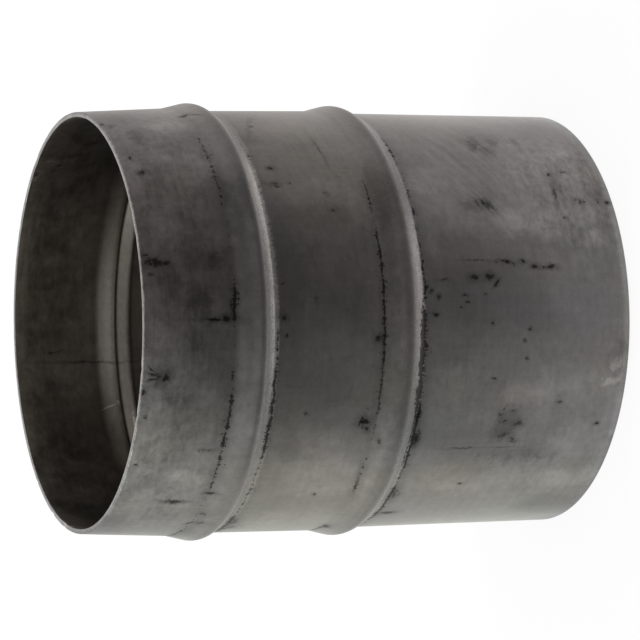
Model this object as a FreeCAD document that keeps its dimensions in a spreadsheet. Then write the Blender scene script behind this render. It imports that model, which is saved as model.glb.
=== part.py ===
import FreeCAD, Part

# Hose tail: one length of thin-walled tube with two hose beads rolled into its
# wall near the hose end. The other end is cut square and left plain, for
# welding to a tube or a flange.
#
# Frame: millimetres, +Z up the tube's axis. The tail stands on its weld end,
# whose face lies in Z = 0 with the axis at X = Y = 0. The hose end is on top.
#
# The wall has the same thickness all over, so each bead outside is a groove
# inside. The outside is drawn once, revolved to a solid blank, and the blank
# is hollowed to the wall from both ends.

import math
import os

import Sketcher
from FreeCAD import Vector

NODE = "hose_tail"

# Driving sizes: the name of each in the sheet, its value and what it is
SIZES = [
    ("tube_diameter", 127.0, "outside diameter of the plain tube"),
    ("wall", 1.5, "wall thickness, the same all over"),
    ("overall_length", 152.0, "weld face to hose mouth"),
    ("mouth_draw", 1.0, "how much smaller the mouth's radius is than the tube's"),
    ("mouth_to_bead", 26.6, "hose mouth to the foot of the first bead"),
    ("bead_pitch", 46.1, "one bead to the next"),
    ("foot_swell", 0.5, "how far the wall has opened at a bead's foot"),
    ("bead_height", 2.2, "a bead's crest above the tube, in radius"),
    ("bead_rise", 7.8, "length of the gentle flank, on the hose side"),
    ("bead_fall", 4.6, "length of the steep flank, on the weld side"),
    ("crest_radius", 3.0, "rounding of a bead's crest"),
    ("foot_sweep", 8.0, "wide rounding where the gentle flank leaves the tube"),
    ("root_radius", 1.2, "tight rounding where the steep flank meets the tube"),
    ("mouth_round", 0.4, "rounding of the mouth's outer edge"),
    ("edge_break", 0.2, "edge break of the bore's mouth and of the weld end"),
]
BEAD_COUNT = 2
FLAT = 1e-6

# A bead's roundings as drawn. Each is its own size above, held back only where
# the bead is too short or too high for it: a reach is the most that the two
# roundings of a flank come to before no straight flank is left between them.
REACH_USED = 0.95
CREST_SHARE = 0.7
ROUNDINGS = [
    ("rise_reach", "((bead_height - foot_swell) ^ 2 + bead_rise ^ 2) / (2 * (bead_height - foot_swell))",
     "reach of the gentle flank's roundings"),
    ("fall_reach", "(bead_height ^ 2 + bead_fall ^ 2) / (2 * bead_height)",
     "reach of the steep flank's roundings"),
    ("crest_round", f"min(crest_radius; {CREST_SHARE} * fall_reach; {CREST_SHARE} * rise_reach)",
     "rounding of the crest as drawn"),
    ("foot_round", f"min(foot_sweep; {REACH_USED} * rise_reach - crest_round)",
     "rounding of the foot as drawn"),
    ("root_round", f"min(root_radius; {REACH_USED} * fall_reach - crest_round)",
     "rounding of the root as drawn"),
]


def fill_sheet(doc):
    """The spreadsheet that every sketch and feature below is bound to."""
    sheet = doc.addObject("Spreadsheet::Sheet", "sizes")
    for row, (alias, value, meaning) in enumerate(SIZES, start=1):
        sheet.set(f"A{row}", meaning)
        sheet.set(f"B{row}", str(value))
        sheet.setAlias(f"B{row}", alias)
    for row, (alias, formula, meaning) in enumerate(ROUNDINGS, start=len(SIZES) + 1):
        sheet.set(f"A{row}", meaning)
        sheet.set(f"B{row}", f"={formula}")
        sheet.setAlias(f"B{row}", alias)
    doc.recompute()
    return sheet


def origin_feature(body, role):
    """One of the body's own origin planes or axes."""
    return next(item for item in body.Origin.OriginFeatures if item.Role == role)


def flank_ends(foot_centre, foot_radius, crest_centre, crest_radius, side):
    """The two ends of a bead's flank.

    The flank is the straight line that touches the hollow foot arc and the
    round crest arc. side is 1 for the flank that rises from the hose side and
    -1 for the one that falls to the weld side.
    """
    gap = crest_centre - foot_centre
    across = Vector(gap.y * side, -gap.x * side, 0)
    reach = foot_radius + crest_radius
    along = math.sqrt(gap.Length ** 2 - reach ** 2)
    normal = (gap * reach + across * along) * (1.0 / gap.Length ** 2)
    return foot_centre + normal * foot_radius, crest_centre - normal * crest_radius


class Outline:
    """The outside of the tube, drawn from the mouth down to the weld end.

    Sketch X is the distance from the axis and sketch Y the height above the
    weld face. Each piece runs on tangent from the one before it, and every
    size is bound to the sheet by name.
    """

    def __init__(self, sketch, sheet):
        self.sketch = sketch
        self.size = {alias: float(sheet.get(alias)) for alias, _, _ in SIZES + ROUNDINGS}
        self.tube_radius = self.size["tube_diameter"] / 2

    def bind(self, name, formula, *constraint):
        """Adds a named dimension and binds it to a formula of the sheet."""
        index = self.sketch.addConstraint(Sketcher.Constraint(*constraint))
        self.sketch.renameConstraint(index, name)
        self.sketch.setExpression(f"Constraints.{name}", formula)

    def place(self, name, element, end, across, height):
        """Dimensions a point from the axis and from the weld face.

        across and height are formulas of the sheet. The point already lies
        where they put it.
        """
        point = self.sketch.getPoint(element, end)
        self.bind(f"{name}_across", across, "DistanceX", -1, 1, element, end, point.x)
        self.bind(f"{name}_height", height, "DistanceY", -1, 1, element, end, point.y)

    def line(self, start, end):
        """Adds a straight stretch and returns its index."""
        return self.sketch.addGeometry(Part.LineSegment(start, end), False)

    def arc(self, centre, radius, start, end):
        """Adds the short arc between two points and returns its index."""
        middle = (start + end) * 0.5 - centre
        middle.Length = radius
        return self.sketch.addGeometry(Part.Arc(start, centre + middle, end), False)

    def end_at(self, element, point):
        """Which end of a line or an arc, 1 or 2, lies at a point."""
        gaps = [(self.sketch.getPoint(element, end) - point).Length for end in (1, 2)]
        return 1 + gaps.index(min(gaps))

    def join(self, kind, first, second, point):
        """Joins two pieces at the point where they meet."""
        ends = [self.end_at(element, point) for element in (first, second)]
        self.sketch.addConstraint(Sketcher.Constraint(kind, first, ends[0], second, ends[1]))

    def hollow_centre(self, stretch, point, radius):
        """The centre of a hollow arc that leaves a stretch at a point, outside the wall."""
        way = self.sketch.getPoint(stretch, 2) - self.sketch.getPoint(stretch, 1)
        way.normalize()
        return point + Vector(-way.y, way.x, 0) * radius

    def draw_bead(self, number, above, below):
        """Draws one bead between the stretch above it and the stretch below it."""
        size = self.size
        foot = self.sketch.getPoint(above, 2)
        root = self.sketch.getPoint(below, 1)
        crest_centre = Vector(
            self.tube_radius + size["bead_height"] - size["crest_round"],
            foot.y - size["bead_rise"], 0)
        foot_centre = self.hollow_centre(above, foot, size["foot_round"])
        root_centre = self.hollow_centre(below, root, size["root_round"])
        rise_start, rise_end = flank_ends(
            foot_centre, size["foot_round"], crest_centre, size["crest_round"], 1)
        fall_end, fall_start = flank_ends(
            root_centre, size["root_round"], crest_centre, size["crest_round"], -1)

        foot_arc = self.arc(foot_centre, size["foot_round"], foot, rise_start)
        rise = self.line(rise_start, rise_end)
        crest_arc = self.arc(crest_centre, size["crest_round"], rise_end, fall_start)
        fall = self.line(fall_start, fall_end)
        root_arc = self.arc(root_centre, size["root_round"], fall_end, root)

        self.join("Tangent", above, foot_arc, foot)
        self.join("Tangent", foot_arc, rise, rise_start)
        self.join("Tangent", rise, crest_arc, rise_end)
        self.join("Tangent", crest_arc, fall, fall_start)
        self.join("Tangent", fall, root_arc, fall_end)
        self.join("Tangent", root_arc, below, root)

        name = f"bead_{number}"
        self.bind(f"{name}_foot_round", "sizes.foot_round", "Radius", foot_arc, size["foot_round"])
        self.bind(f"{name}_root_round", "sizes.root_round", "Radius", root_arc, size["root_round"])
        self.bind(f"{name}_crest_round", "sizes.crest_round", "Radius", crest_arc, size["crest_round"])

        foot_height = f"sizes.overall_length - sizes.mouth_to_bead - {number - 1} * sizes.bead_pitch"
        self.place(f"{name}_foot", above, 2,
                   "sizes.tube_diameter / 2 + sizes.foot_swell",
                   foot_height)
        self.place(f"{name}_crest", crest_arc, 3,
                   "sizes.tube_diameter / 2 + sizes.bead_height - sizes.crest_round",
                   f"{foot_height} - sizes.bead_rise")
        self.place(f"{name}_root", below, 1,
                   "sizes.tube_diameter / 2",
                   f"{foot_height} - sizes.bead_rise - sizes.bead_fall")

    def straight_stretches(self, mouth, weld_edge):
        """Draws what lies straight between the mouth, the beads and the weld end."""
        size = self.size
        ends = [mouth]
        for index in range(BEAD_COUNT):
            foot_height = size["overall_length"] - size["mouth_to_bead"] - index * size["bead_pitch"]
            root_height = foot_height - size["bead_rise"] - size["bead_fall"]
            ends.append(Vector(self.tube_radius + size["foot_swell"], foot_height, 0))
            ends.append(Vector(self.tube_radius, root_height, 0))
        ends.append(weld_edge)
        return [self.line(start, end) for start, end in zip(ends[0::2], ends[1::2])]

    def draw(self):
        """Draws the whole outline and closes it along the axis."""
        bottom = Vector(0, 0, 0)
        top = Vector(0, self.size["overall_length"], 0)
        mouth = Vector(self.tube_radius - self.size["mouth_draw"], self.size["overall_length"], 0)
        weld_edge = Vector(self.tube_radius, 0, 0)

        stretches = self.straight_stretches(mouth, weld_edge)
        for number, (above, below) in enumerate(zip(stretches, stretches[1:]), start=1):
            self.draw_bead(number, above, below)

        mouth_face = self.line(top, mouth)
        weld_face = self.line(weld_edge, bottom)
        axis = self.line(bottom, top)
        self.join("Coincident", mouth_face, stretches[0], mouth)
        self.join("Coincident", stretches[-1], weld_face, weld_edge)
        self.join("Coincident", weld_face, axis, bottom)
        self.join("Coincident", axis, mouth_face, top)
        self.sketch.addConstraint(Sketcher.Constraint("Coincident", axis, 1, -1, 1))
        self.sketch.addConstraint(Sketcher.Constraint("Horizontal", weld_face))
        self.sketch.addConstraint(Sketcher.Constraint("Horizontal", mouth_face))
        self.sketch.addConstraint(Sketcher.Constraint("Vertical", axis))
        self.sketch.addConstraint(Sketcher.Constraint("Vertical", stretches[-1]))
        self.place("mouth", mouth_face, 2,
                   "sizes.tube_diameter / 2 - sizes.mouth_draw",
                   "sizes.overall_length")


def circle_edge(shape, height, outer):
    """Names a round edge of the end at a height: its outer edge, or its bore's."""
    found = []
    for number, edge in enumerate(shape.Edges, start=1):
        is_circle = isinstance(edge.Curve, Part.Circle)
        if is_circle and abs(edge.Curve.Center.z - height) < FLAT:
            found.append((edge.Curve.Radius, f"Edge{number}"))
    found.sort()
    return found[-1][1] if outer else found[0][1]


def end_faces(shape):
    """Names the flat faces at the two ends."""
    return [f"Face{number}" for number, face in enumerate(shape.Faces, start=1)
            if isinstance(face.Surface, Part.Plane)]


def build_tail(doc, sheet):
    """The one piece: a revolved blank, hollowed to the wall and deburred."""
    body = doc.addObject("PartDesign::Body", NODE)
    body.Label = NODE
    length = float(sheet.get("overall_length"))

    sketch = body.newObject("Sketcher::SketchObject", "outline")
    sketch.AttachmentSupport = [(origin_feature(body, "XZ_Plane"), "")]
    sketch.MapMode = "FlatFace"
    Outline(sketch, sheet).draw()

    blank = body.newObject("PartDesign::Revolution", "blank")
    blank.Profile = sketch
    blank.ReferenceAxis = (sketch, ["V_Axis"])
    blank.Angle = 360.0
    doc.recompute()

    hollow = body.newObject("PartDesign::Thickness", "hollow")
    hollow.Base = (blank, end_faces(blank.Shape))
    hollow.Mode = "Skin"
    hollow.Join = "Intersection"
    hollow.Reversed = True
    hollow.setExpression("Value", "sizes.wall")
    doc.recompute()

    lip = body.newObject("PartDesign::Fillet", "mouth_lip")
    lip.Base = (hollow, [circle_edge(hollow.Shape, length, outer=True)])
    lip.setExpression("Radius", "sizes.mouth_round")
    doc.recompute()

    bore_lip = body.newObject("PartDesign::Fillet", "bore_lip")
    bore_lip.Base = (lip, [circle_edge(lip.Shape, length, outer=False)])
    bore_lip.setExpression("Radius", "sizes.edge_break")
    doc.recompute()

    deburr = body.newObject("PartDesign::Chamfer", "deburr")
    deburr.Base = (bore_lip, [circle_edge(bore_lip.Shape, 0.0, outer) for outer in (True, False)])
    deburr.setExpression("Size", "sizes.edge_break")
    body.Tip = deburr
    doc.recompute()
    return body


def check(doc, bodies):
    """Stops with a plain message if anything failed to build."""
    for item in doc.Objects:
        if "Invalid" in item.State or "Error" in item.State:
            raise RuntimeError(f"{item.Label} failed: {item.State}")
    for body in bodies:
        shape = body.Shape
        if shape.isNull() or not shape.isValid() or len(shape.Solids) != 1:
            raise RuntimeError(f"{body.Label} is not one valid solid")


def main():
    doc = FreeCAD.newDocument("hose_tail_part")
    sheet = fill_sheet(doc)
    bodies = [build_tail(doc, sheet)]
    check(doc, bodies)
    os.makedirs("parts", exist_ok=True)
    for body in bodies:
        body.Shape.exportStep(f"parts/{body.Label}.step")
        print(body.Label, "volume", round(body.Shape.Volume, 1), "mm3")


main()
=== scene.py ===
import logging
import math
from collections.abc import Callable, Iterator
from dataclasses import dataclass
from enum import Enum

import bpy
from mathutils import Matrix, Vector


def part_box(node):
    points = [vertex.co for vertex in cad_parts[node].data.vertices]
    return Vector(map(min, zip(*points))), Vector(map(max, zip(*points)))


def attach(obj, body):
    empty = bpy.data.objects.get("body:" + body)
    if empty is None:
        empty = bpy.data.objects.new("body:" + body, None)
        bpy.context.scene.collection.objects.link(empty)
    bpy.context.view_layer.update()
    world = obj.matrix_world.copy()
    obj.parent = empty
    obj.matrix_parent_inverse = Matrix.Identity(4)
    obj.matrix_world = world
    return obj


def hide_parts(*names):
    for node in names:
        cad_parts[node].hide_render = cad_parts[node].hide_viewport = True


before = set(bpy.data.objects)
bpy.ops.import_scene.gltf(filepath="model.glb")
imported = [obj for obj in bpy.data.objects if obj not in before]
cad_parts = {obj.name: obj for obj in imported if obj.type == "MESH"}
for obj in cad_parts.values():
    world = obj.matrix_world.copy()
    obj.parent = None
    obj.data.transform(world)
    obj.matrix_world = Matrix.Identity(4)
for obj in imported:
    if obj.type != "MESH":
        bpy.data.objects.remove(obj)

# Hose tail: one thin-walled metal tube with two rolled hose beads, standing on
# its weld end. The wall is spun from its section, dressed in dull oily metal
# with the dirt and marks of the real one and with painted reflections and shade
# over its beads, inside it and in some soft patches, and seen from a little
# above with the camera turned a quarter on its side.
#
# Frame: metres, +Z up the tube's axis, weld face in Z = 0. Places on the wall
# are given as a height above the weld face and a turn about the axis: turn 0
# is the line nearest the camera, and turns grow towards +X.

LOG = logging.getLogger("hose_tail")
MM = 0.001
NODE = "hose_tail"
WHITE = (1.0, 1.0, 1.0, 1.0)
HALF_TURN = 180.0

Span = tuple[float, float]
Triple = tuple[float, float, float]
Stops = tuple[tuple[float, float], ...]


class Side(Enum):
    """The part of the wall's skin that a stretch of the section belongs to."""

    OUTSIDE = "outside"
    LINING = "lining"
    CUT_FACE = "cut_face"


@dataclass(frozen=True)
class SectionPoint:
    """One point of the wall's section.

    Args:
        radius: distance from the tube's axis, in metres.
        height: distance above the weld face, in metres.
        side: which skin of the wall it lies on.
    """

    radius: float
    height: float
    side: Side


@dataclass
class WallSizes:
    """The wall's driving sizes, in metres, as the construction has them.

    The overall length and the crest's radius are read from the frame.
    """

    length: float
    crest: float
    wall: float = 1.5 * MM
    bead_height: float = 2.2 * MM
    mouth_draw: float = 1.0 * MM
    mouth_to_bead: float = 26.6 * MM
    bead_pitch: float = 46.1 * MM
    foot_swell: float = 0.5 * MM
    bead_rise: float = 7.8 * MM
    bead_fall: float = 4.6 * MM
    crest_radius: float = 3.0 * MM
    foot_sweep: float = 8.0 * MM
    root_radius: float = 1.2 * MM
    mouth_round: float = 0.4 * MM
    edge_break: float = 0.2 * MM
    bead_count: int = 2

    @property
    def radius(self) -> float:
        """Outside radius of the plain tube."""
        return self.crest - self.bead_height

    def foot(self, bead: int) -> float:
        """Height at which a bead begins, on its hose side."""
        return self.length - self.mouth_to_bead - bead * self.bead_pitch

    def top(self, bead: int) -> float:
        """Height of a bead's crest."""
        return self.foot(bead) - self.bead_rise

    def root(self, bead: int) -> float:
        """Height at which a bead ends, on its weld side."""
        return self.top(bead) - self.bead_fall


def arc_points(centre: Vector, start: Vector, end: Vector, steps: int) -> list[Vector]:
    """Points along the short arc between two points, both ends included.

    Args:
        centre: the arc's centre.
        start: its first point.
        end: its last point.
        steps: how many chords it is divided into.

    Returns:
        The points in order.
    """
    spoke = start - centre
    sweep = spoke.angle_signed(end - centre)
    return [centre + Matrix.Rotation(-sweep * i / steps, 2) @ spoke for i in range(steps + 1)]


def flank(foot_centre: Vector, foot_radius: float, crest_centre: Vector, crest_radius: float,
          hose_side: bool) -> tuple[Vector, Vector]:
    """The ends of the straight flank between a hollow foot and a round crest.

    Args:
        foot_centre: centre of the hollow arc, outside the wall.
        foot_radius: its radius.
        crest_centre: centre of the crest's arc, inside the wall.
        crest_radius: its radius.
        hose_side: True for the flank on the hose side.

    Returns:
        The flank's end on the foot and its end on the crest.
    """
    gap = crest_centre - foot_centre
    turn = 1.0 if hose_side else -1.0
    across = Vector((gap.y, -gap.x)) * turn
    reach = foot_radius + crest_radius
    along = math.sqrt(gap.length_squared - reach ** 2)
    normal = (gap * reach + across * along) / gap.length_squared
    return foot_centre + normal * foot_radius, crest_centre - normal * crest_radius


@dataclass
class WallSection:
    """The closed section of the wall, as points from the mouth round to it again.

    Args:
        sizes: the wall's driving sizes.
        plain_pace: longest step along the plain stretches.
        guard: short first and last step of a straight stretch.
        round_steps: chords in a crest's arc.
        lip_steps: chords in the mouth's inner corner.
        brow_steps: chords in its outer one.
    """

    sizes: WallSizes
    plain_pace: float = 5.5 * MM
    guard: float = 0.3 * MM
    round_steps: int = 8
    lip_steps: int = 3
    brow_steps: int = 5

    def outside(self) -> list[Vector]:
        """The outer skin's points (radius, height), from the mouth to the weld end.

        Returns:
            The points in order.
        """
        sizes = self.sizes
        points: list[Vector] = []
        start = Vector((sizes.radius - sizes.mouth_draw, sizes.length))
        for bead in range(sizes.bead_count):
            foot = Vector((sizes.radius + sizes.foot_swell, sizes.foot(bead)))
            root = Vector((sizes.radius, sizes.root(bead)))
            if bead + 1 < sizes.bead_count:
                after = Vector((sizes.radius + sizes.foot_swell, sizes.foot(bead + 1)))
            else:
                after = Vector((sizes.radius, 0.0))
            points += self.straight(start, foot)[:-1] + self.bead(bead, start, foot, root, after)[:-1]
            start = root
        return points + self.straight(start, Vector((sizes.radius, 0.0)))

    def straight(self, start: Vector, end: Vector) -> list[Vector]:
        """Points along a straight stretch, both ends included.

        Args:
            start: the first point.
            end: the last point.

        Returns:
            The points in order. A long stretch has a short first and last step, which
            keep its flat shading from bleeding into the round beside it.
        """
        length = (end - start).length
        way = (end - start).normalized()
        inset = self.guard if length >= 4 * self.guard else 0.0
        inner = length - 2 * inset
        steps = max(1, math.ceil(inner / self.plain_pace))
        stops = [inset + inner * i / steps for i in range(steps + 1)]
        if inset:
            stops = [0.0, *stops, length]
        return [start + way * stop for stop in stops]

    def bead(self, bead: int, before: Vector, foot: Vector, root: Vector, after: Vector) -> list[Vector]:
        """One bead's points, from its foot over the crest to its root.

        Args:
            bead: number of the bead from the mouth, from 0.
            before: where the stretch above the foot starts.
            foot: where the bead begins.
            root: where the bead ends.
            after: where the stretch below the root ends.

        Returns:
            The points in order, foot and root included.
        """
        sizes = self.sizes
        crest_centre = Vector((sizes.crest - sizes.crest_radius, sizes.top(bead)))
        foot_centre = foot + self.outward(foot - before) * sizes.foot_sweep
        root_centre = root + self.outward(after - root) * sizes.root_radius
        rise_low, rise_high = flank(
            foot_centre, sizes.foot_sweep, crest_centre, sizes.crest_radius, hose_side=True)
        fall_low, fall_high = flank(
            root_centre, sizes.root_radius, crest_centre, sizes.crest_radius, hose_side=False)
        half = self.round_steps // 2
        points = arc_points(foot_centre, foot, rise_low, half)[:-1]
        points += self.straight(rise_low, rise_high)[:-1]
        points += arc_points(crest_centre, rise_high, fall_high, self.round_steps)[:-1]
        points += self.straight(fall_high, fall_low)[:-1]
        return points + arc_points(root_centre, fall_low, root, half)

    @staticmethod
    def outward(way: Vector) -> Vector:
        """The unit normal that points away from the axis, for a way towards the weld end."""
        return Vector((-way.y, way.x)).normalized()

    def lining(self, outside: list[Vector]) -> list[Vector]:
        """The inner skin's points: the outer ones moved in by the wall's thickness.

        Args:
            outside: the outer skin's points, from the mouth to the weld end.

        Returns:
            The inner points in the same order.
        """
        inner = []
        last = len(outside) - 1
        for index, point in enumerate(outside):
            ahead = outside[min(index + 1, last)]
            behind = outside[max(index - 1, 0)]
            arriving = self.outward(point - behind) if index else self.outward(ahead - point)
            leaving = self.outward(ahead - point) if index < last else arriving
            inner.append(point - (arriving + leaving).normalized() * self.sizes.wall)
        inner[0].y = self.sizes.length
        inner[-1].y = 0.0
        return inner

    def points(self) -> list[SectionPoint]:
        """The whole closed section, its corners rounded, with the side of each point.

        Returns:
            The points in order. The last one joins the first.
        """
        sizes = self.sizes
        lip, brow = sizes.edge_break, sizes.mouth_round
        outside = self.outside()
        lining = self.lining(outside)
        bore = lining[-1].x
        inner = Vector((lining[0].x + lip, sizes.length - lip))
        outer = Vector((outside[0].x - brow, sizes.length - brow))
        up = Vector((0.0, 1.0))
        out = Vector((1.0, 0.0))
        lip_arc = arc_points(inner, inner - out * lip, inner + up * lip, self.lip_steps)
        brow_arc = arc_points(outer, outer + up * brow, outer + out * brow, self.brow_steps)
        plain_outside = [p for p in outside if lip < p.y < sizes.length - brow]
        plain_lining = [p for p in reversed(lining) if lip < p.y < sizes.length - lip]
        stretches = (
            (Side.OUTSIDE, [*plain_outside, Vector((sizes.radius, lip))]),
            (Side.CUT_FACE, [Vector((sizes.radius - lip, 0.0)), Vector((bore + lip, 0.0))]),
            (Side.LINING, [Vector((bore, lip)), *plain_lining, lip_arc[0]]),
            (Side.CUT_FACE, lip_arc[1:] + brow_arc[:-1]),
            (Side.OUTSIDE, brow_arc[-1:]))
        return [SectionPoint(p.x, p.y, side) for side, points in stretches for p in points]


def arithmetic(operation: str, turned: bool = False) -> "Callable[[Signal, object], Signal]":
    """Makes a method that joins a signal and another value in a math node.

    Args:
        operation: what the node does.
        turned: True where the other value comes first.

    Returns:
        The method.
    """
    def joined(signal: "Signal", other: object) -> "Signal":
        """The node's result."""
        return signal.kit.math(operation, *((other, signal) if turned else (signal, other)))
    return joined


class Signal:
    """A value that runs through a node tree. Plain arithmetic on it adds math nodes.

    Args:
        kit: the tree's nodes.
        socket: the output that it comes from.
    """

    def __init__(self, kit: "NodeKit", socket: bpy.types.NodeSocket) -> None:
        self.kit = kit
        self.socket = socket

    __add__ = arithmetic("ADD")
    __radd__ = arithmetic("ADD", turned=True)
    __sub__ = arithmetic("SUBTRACT")
    __rsub__ = arithmetic("SUBTRACT", turned=True)
    __mul__ = arithmetic("MULTIPLY")
    __rmul__ = arithmetic("MULTIPLY", turned=True)
    __truediv__ = arithmetic("DIVIDE")
    __rtruediv__ = arithmetic("DIVIDE", turned=True)


class NodeKit:
    """Short ways to add and link nodes in one tree.

    Args:
        tree: the node tree that is built.
    """

    NUMBER_RESULTS = ("LENGTH", "DOT_PRODUCT")

    def __init__(self, tree: bpy.types.NodeTree) -> None:
        self.tree = tree

    def node(self, kind: str, settings: dict | None = None, inputs: dict | None = None) -> bpy.types.Node:
        """Adds a node.

        Args:
            kind: the node's type name.
            settings: values of its own properties.
            inputs: values or signals for its inputs, by name or number.

        Returns:
            The node.
        """
        made = self.tree.nodes.new(kind)
        for name, value in (settings or {}).items():
            setattr(made, name, value)
        for key, value in (inputs or {}).items():
            if isinstance(value, Signal):
                self.tree.links.new(value.socket, made.inputs[key])
            else:
                made.inputs[key].default_value = value
        return made

    def out(self, kind: str, settings: dict | None = None, inputs: dict | None = None,
            output: int | str = 0) -> Signal:
        """Adds a node and gives one of its outputs, by name or number."""
        return Signal(self, self.node(kind, settings, inputs).outputs[output])

    def math(self, operation: str, *values: object) -> Signal:
        """The result of a math node on one to three values."""
        return self.out("ShaderNodeMath", {"operation": operation}, dict(enumerate(values)))

    def vector(self, operation: str, *values: object) -> Signal:
        """The result of a vector math node: a number for a length or a dot product, otherwise a vector."""
        result = "Value" if operation in self.NUMBER_RESULTS else "Vector"
        return self.out("ShaderNodeVectorMath", {"operation": operation}, dict(enumerate(values)), result)

    def spread(self, value: object, low: float, high: float, out_low: float = 0.0, out_high: float = 1.0,
               smooth: bool = True) -> Signal:
        """Maps a value from one range to another, held at both ends."""
        kind = "SMOOTHSTEP" if smooth else "LINEAR"
        return self.out("ShaderNodeMapRange", {"interpolation_type": kind, "clamp": True},
                        {0: value, 1: low, 2: high, 3: out_low, 4: out_high})

    def within(self, value: object, low: float, high: float, soft: float) -> Signal:
        """1 where a value is between two others, fading out on both sides."""
        begun = self.spread(value, low - soft, low + soft)
        return begun * self.spread(value, high + soft, high - soft)

    def covered(self, cover: object, level: float) -> Signal:
        """What a tone is multiplied by under a cover: 1 where there is none, a level where it is full."""
        return self.spread(cover, 0.0, 1.0, 1.0, level, smooth=False)

    def mixed(self, share: object, first: object, second: object) -> Signal:
        """A number between two others, by a share from 0 to 1."""
        return self.out("ShaderNodeMix", {"data_type": "FLOAT"}, {0: share, 2: first, 3: second})

    def tinted(self, share: object, first: object, second: object) -> Signal:
        """A colour between two others, by a share from 0 to 1."""
        ends = [colour if isinstance(colour, Signal) else (*colour, 1.0) for colour in (first, second)]
        return self.out("ShaderNodeMix", {"data_type": "RGBA"}, {0: share, 6: ends[0], 7: ends[1]}, 2)

    def scaled(self, vector: object, scale: object) -> Signal:
        """A vector times a number."""
        return self.out("ShaderNodeVectorMath", {"operation": "SCALE"}, {0: vector, "Scale": scale})

    def joined(self, x: object, y: object, z: object) -> Signal:
        """A vector from its three parts."""
        return self.out("ShaderNodeCombineXYZ", None, {0: x, 1: y, 2: z})

    def parts(self, vector: Signal) -> list[Signal]:
        """The three parts of a vector."""
        return [Signal(self, part) for part in self.node("ShaderNodeSeparateXYZ", None, {0: vector}).outputs]

    def turn(self, x: Signal, y: Signal) -> Signal:
        """The turn about the tube's axis in degrees, from the line nearest the camera."""
        return self.math("DEGREES", self.math("ARCTAN2", x, y * -1.0))

    def curve(self, value: object, low: float, high: float, stops: tuple[tuple, ...]) -> Signal:
        """A number or colour that follows a number through a few stops, straight between them.

        Args:
            value: the number that is followed.
            low: where the curve begins.
            high: where it ends.
            stops: pairs of that number and the result, in rising order.

        Returns:
            The result, from 0 to 1 in each part.
        """
        made = self.node("ShaderNodeValToRGB", None, {0: self.spread(value, low, high, smooth=False)})
        band = made.color_ramp.elements
        while len(band) < len(stops):
            band.new(0.5)
        for element, (stop, level) in zip(band, stops):
            element.position = (stop - low) / (high - low)
            element.color = (*(level if isinstance(level, tuple) else (level,) * 3), 1.0)
        return Signal(self, made.outputs[0])


def blank_material(name: str) -> tuple[bpy.types.Material, NodeKit]:
    """Args:
        name: its name.
    """
    made = bpy.data.materials.new(name)
    made.use_nodes = True
    made.node_tree.nodes.clear()
    return made, NodeKit(made.node_tree)


def placed(name: str, data: bpy.types.ID) -> bpy.types.Object:
    """A new object with its data, linked into the scene.

    Args:
        name: its name.
        data: its mesh, lamp or camera.

    Returns:
        The object.
    """
    made = bpy.data.objects.new(name, data)
    bpy.context.scene.collection.objects.link(made)
    return made


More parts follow.
